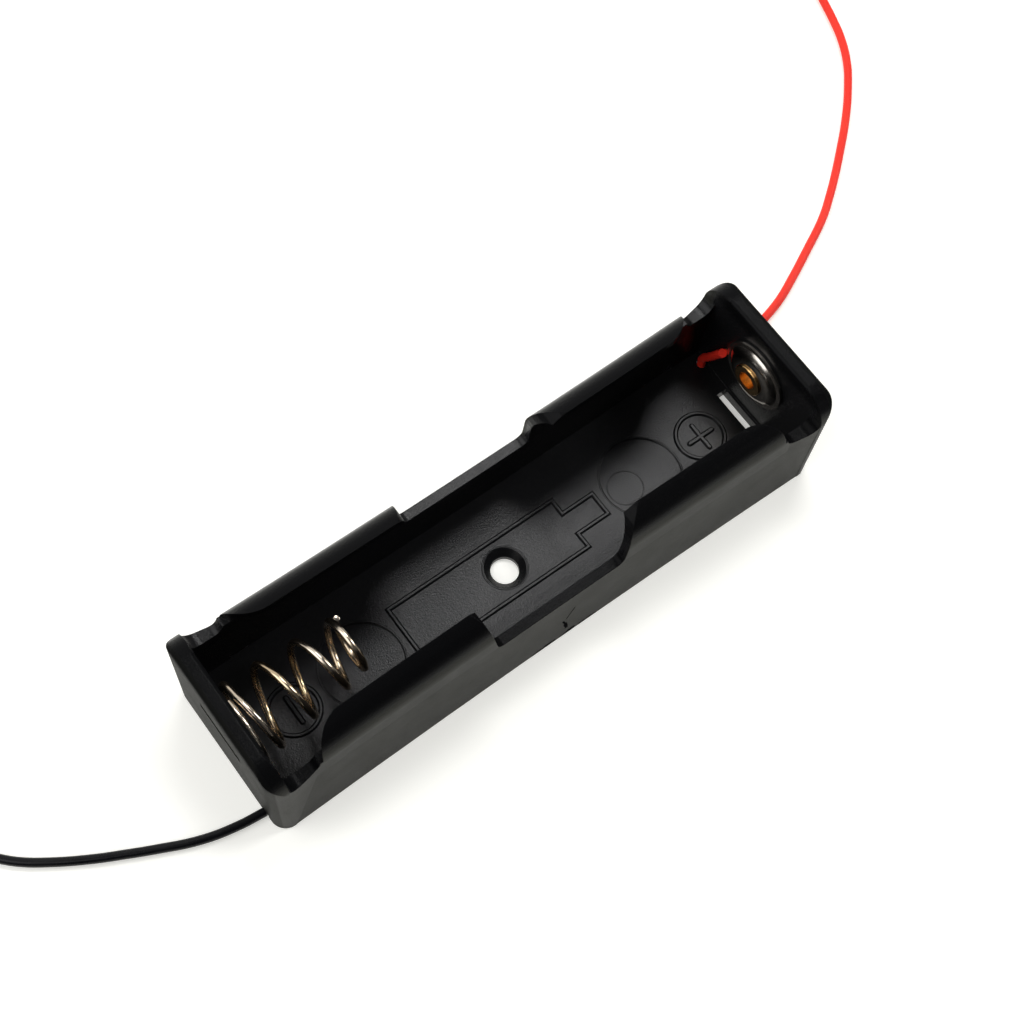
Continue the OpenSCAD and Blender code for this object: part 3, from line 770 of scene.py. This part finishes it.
def make_marks():
    quarter = math.pi / 2
    plus = Vector((POLE_X, 0))
    minus = Vector((-POLE_X, 0))
    raised_line("plus_circle", circle(plus, POLE_R), POLE_LINE)
    raised_line("minus_circle", circle(minus, POLE_R), POLE_LINE)
    raised_sign("plus_sign", arm_outline(plus - PLUS_SHIFT, [k * quarter for k in range(4)]))
    raised_sign("minus_sign", arm_outline(minus, [quarter, 3 * quarter]))
    rims = (("minus_pin_rim", -PIN_X, PIN_R), ("plus_pin_rim", PIN_X, PIN_R), ("hole_rim", 0, HOLE_RIM_R))
    for name, x, r in rims:
        raised_line(name, circle(Vector((x, 0)), r), RIM_WIDTH, RIM_HEIGHT)
    raised_line("gate_ring", circle(GATE_PLACE, GATE_R), GATE_LINE, GATE_HEIGHT, pin_floor)
    raised_line("cell_outline", cell_shape(), CELL_LINE)


make_marks()

# ---------------------------------------------------------------- carried-over solids

for node, slot in (
    ("holder_body", "black_moulding"),
    ("positive_contact", "nickel_sheet"),
    ("contact_eyelet", "eyelet_brass"),
    ("spring_solder", "solder"),
    ("red_lead_strands", "bare_copper"),
    ("black_lead_strands", "bare_copper"),
):
    wear(NODES[node], slot)

# ---------------------------------------------------------------- floor, light and surroundings

FLOOR_HALF = 20.0
FLOOR_DROP = 0.02 * MM           # keeps the floor just clear of the tray's underside
FLOOR_COLOUR = (0.86, 0.857, 0.82, 1)
FLOOR_GLOW = (1, 0.995, 0.95, 1)
FLOOR_LIFT = 0.4                 # the glow that the camera and bright surfaces see
WORLD_DIM = 0.06
WORLD_BRIGHT = 0.9
WORLD_TURN = (0.1, 0.8)          # how far towards plus Y it starts and ends to brighten

# The lights, all aimed at the tray's middle: name, place, width and height, and power in watts.
LIGHTS = [
    ("key", (0.185, 0.166, 0.55), (0.20, 0.13), 0.98),
    ("fill", (-0.45, 0.1, 0.5), (0.65, 0.65), 2.7),
    ("low", (0.52, -0.52, 0.26), (0.3, 0.2), 0.5),
    ("edges", (0.52, -0.14, 0.45), (0.15, 0.15), 1.5),
]


def floor_material():
    """Pale and matt, with a glow that only the camera, reflections and glass see."""
    s = Shader("floor")
    s.set(Base_Color=FLOOR_COLOUR, Roughness=0.9, Specular_IOR_Level=0.1)
    ray = s.node("ShaderNodeLightPath").outputs
    seen = s.math("MAXIMUM", ray["Is Camera Ray"], ray["Is Glossy Ray"])
    seen = s.math("MAXIMUM", seen, ray["Is Transmission Ray"])
    glow = s.node("ShaderNodeEmission")
    glow.inputs["Color"].default_value = FLOOR_GLOW
    s.links.new(s.math("MULTIPLY", seen, FLOOR_LIFT), glow.inputs["Strength"])
    both = s.node("ShaderNodeAddShader")
    s.links.new(s.surface.outputs[0], both.inputs[0])
    s.links.new(glow.outputs[0], both.inputs[1])
    s.links.new(both.outputs[0], s.nodes["Material Output"].inputs["Surface"])
    return s.material


def make_floor():
    """A pale floor that stays white where the camera or a bright surface sees it, and keeps shadows."""
    half = FLOOR_HALF
    corners = [(-half, -half, 0), (half, -half, 0), (half, half, 0), (-half, half, 0)]
    mesh = bpy.data.meshes.new("floor")
    mesh.from_pydata(corners, [], [(0, 1, 2, 3)])
    mesh.materials.append(floor_material())
    floor = bpy.data.objects.new("floor", mesh)
    floor.location.z = -FLOOR_DROP
    SCENE.collection.objects.link(floor)


def soft_light(name, place, size, power):
    data = bpy.data.lights.new(name, "AREA")
    data.shape = "RECTANGLE"
    data.size, data.size_y = size
    data.energy = power
    light = bpy.data.objects.new(name, data)
    light.location = place
    light.rotation_euler = (-Vector(place)).to_track_quat("-Z", "Y").to_euler()
    SCENE.collection.objects.link(light)


def make_surroundings():
    """A dim studio that grows brighter behind the tray's far side, for calm reflections."""
    white = (1, 1, 1, 1)
    world = bpy.data.worlds.new("world")
    SCENE.world = world
    world.use_nodes = True
    nodes, links = world.node_tree.nodes, world.node_tree.links
    place = nodes.new("ShaderNodeTexCoord")
    split = nodes.new("ShaderNodeSeparateXYZ")
    links.new(place.outputs["Generated"], split.inputs[0])
    wall = nodes.new("ShaderNodeMapRange")
    wall.interpolation_type = "SMOOTHSTEP"
    wall.inputs["From Min"].default_value = WORLD_TURN[0]
    wall.inputs["From Max"].default_value = WORLD_TURN[1]
    wall.inputs["To Min"].default_value = WORLD_DIM
    wall.inputs["To Max"].default_value = WORLD_BRIGHT
    links.new(split.outputs["Y"], wall.inputs["Value"])
    background = nodes["Background"]
    background.inputs["Color"].default_value = white
    links.new(wall.outputs["Result"], background.inputs["Strength"])


make_floor()
make_surroundings()
for name, place, size, power in LIGHTS:
    soft_light(name, place, size, power)

SCENE.view_settings.view_transform = "Standard"

bpy.context.view_layer.update()
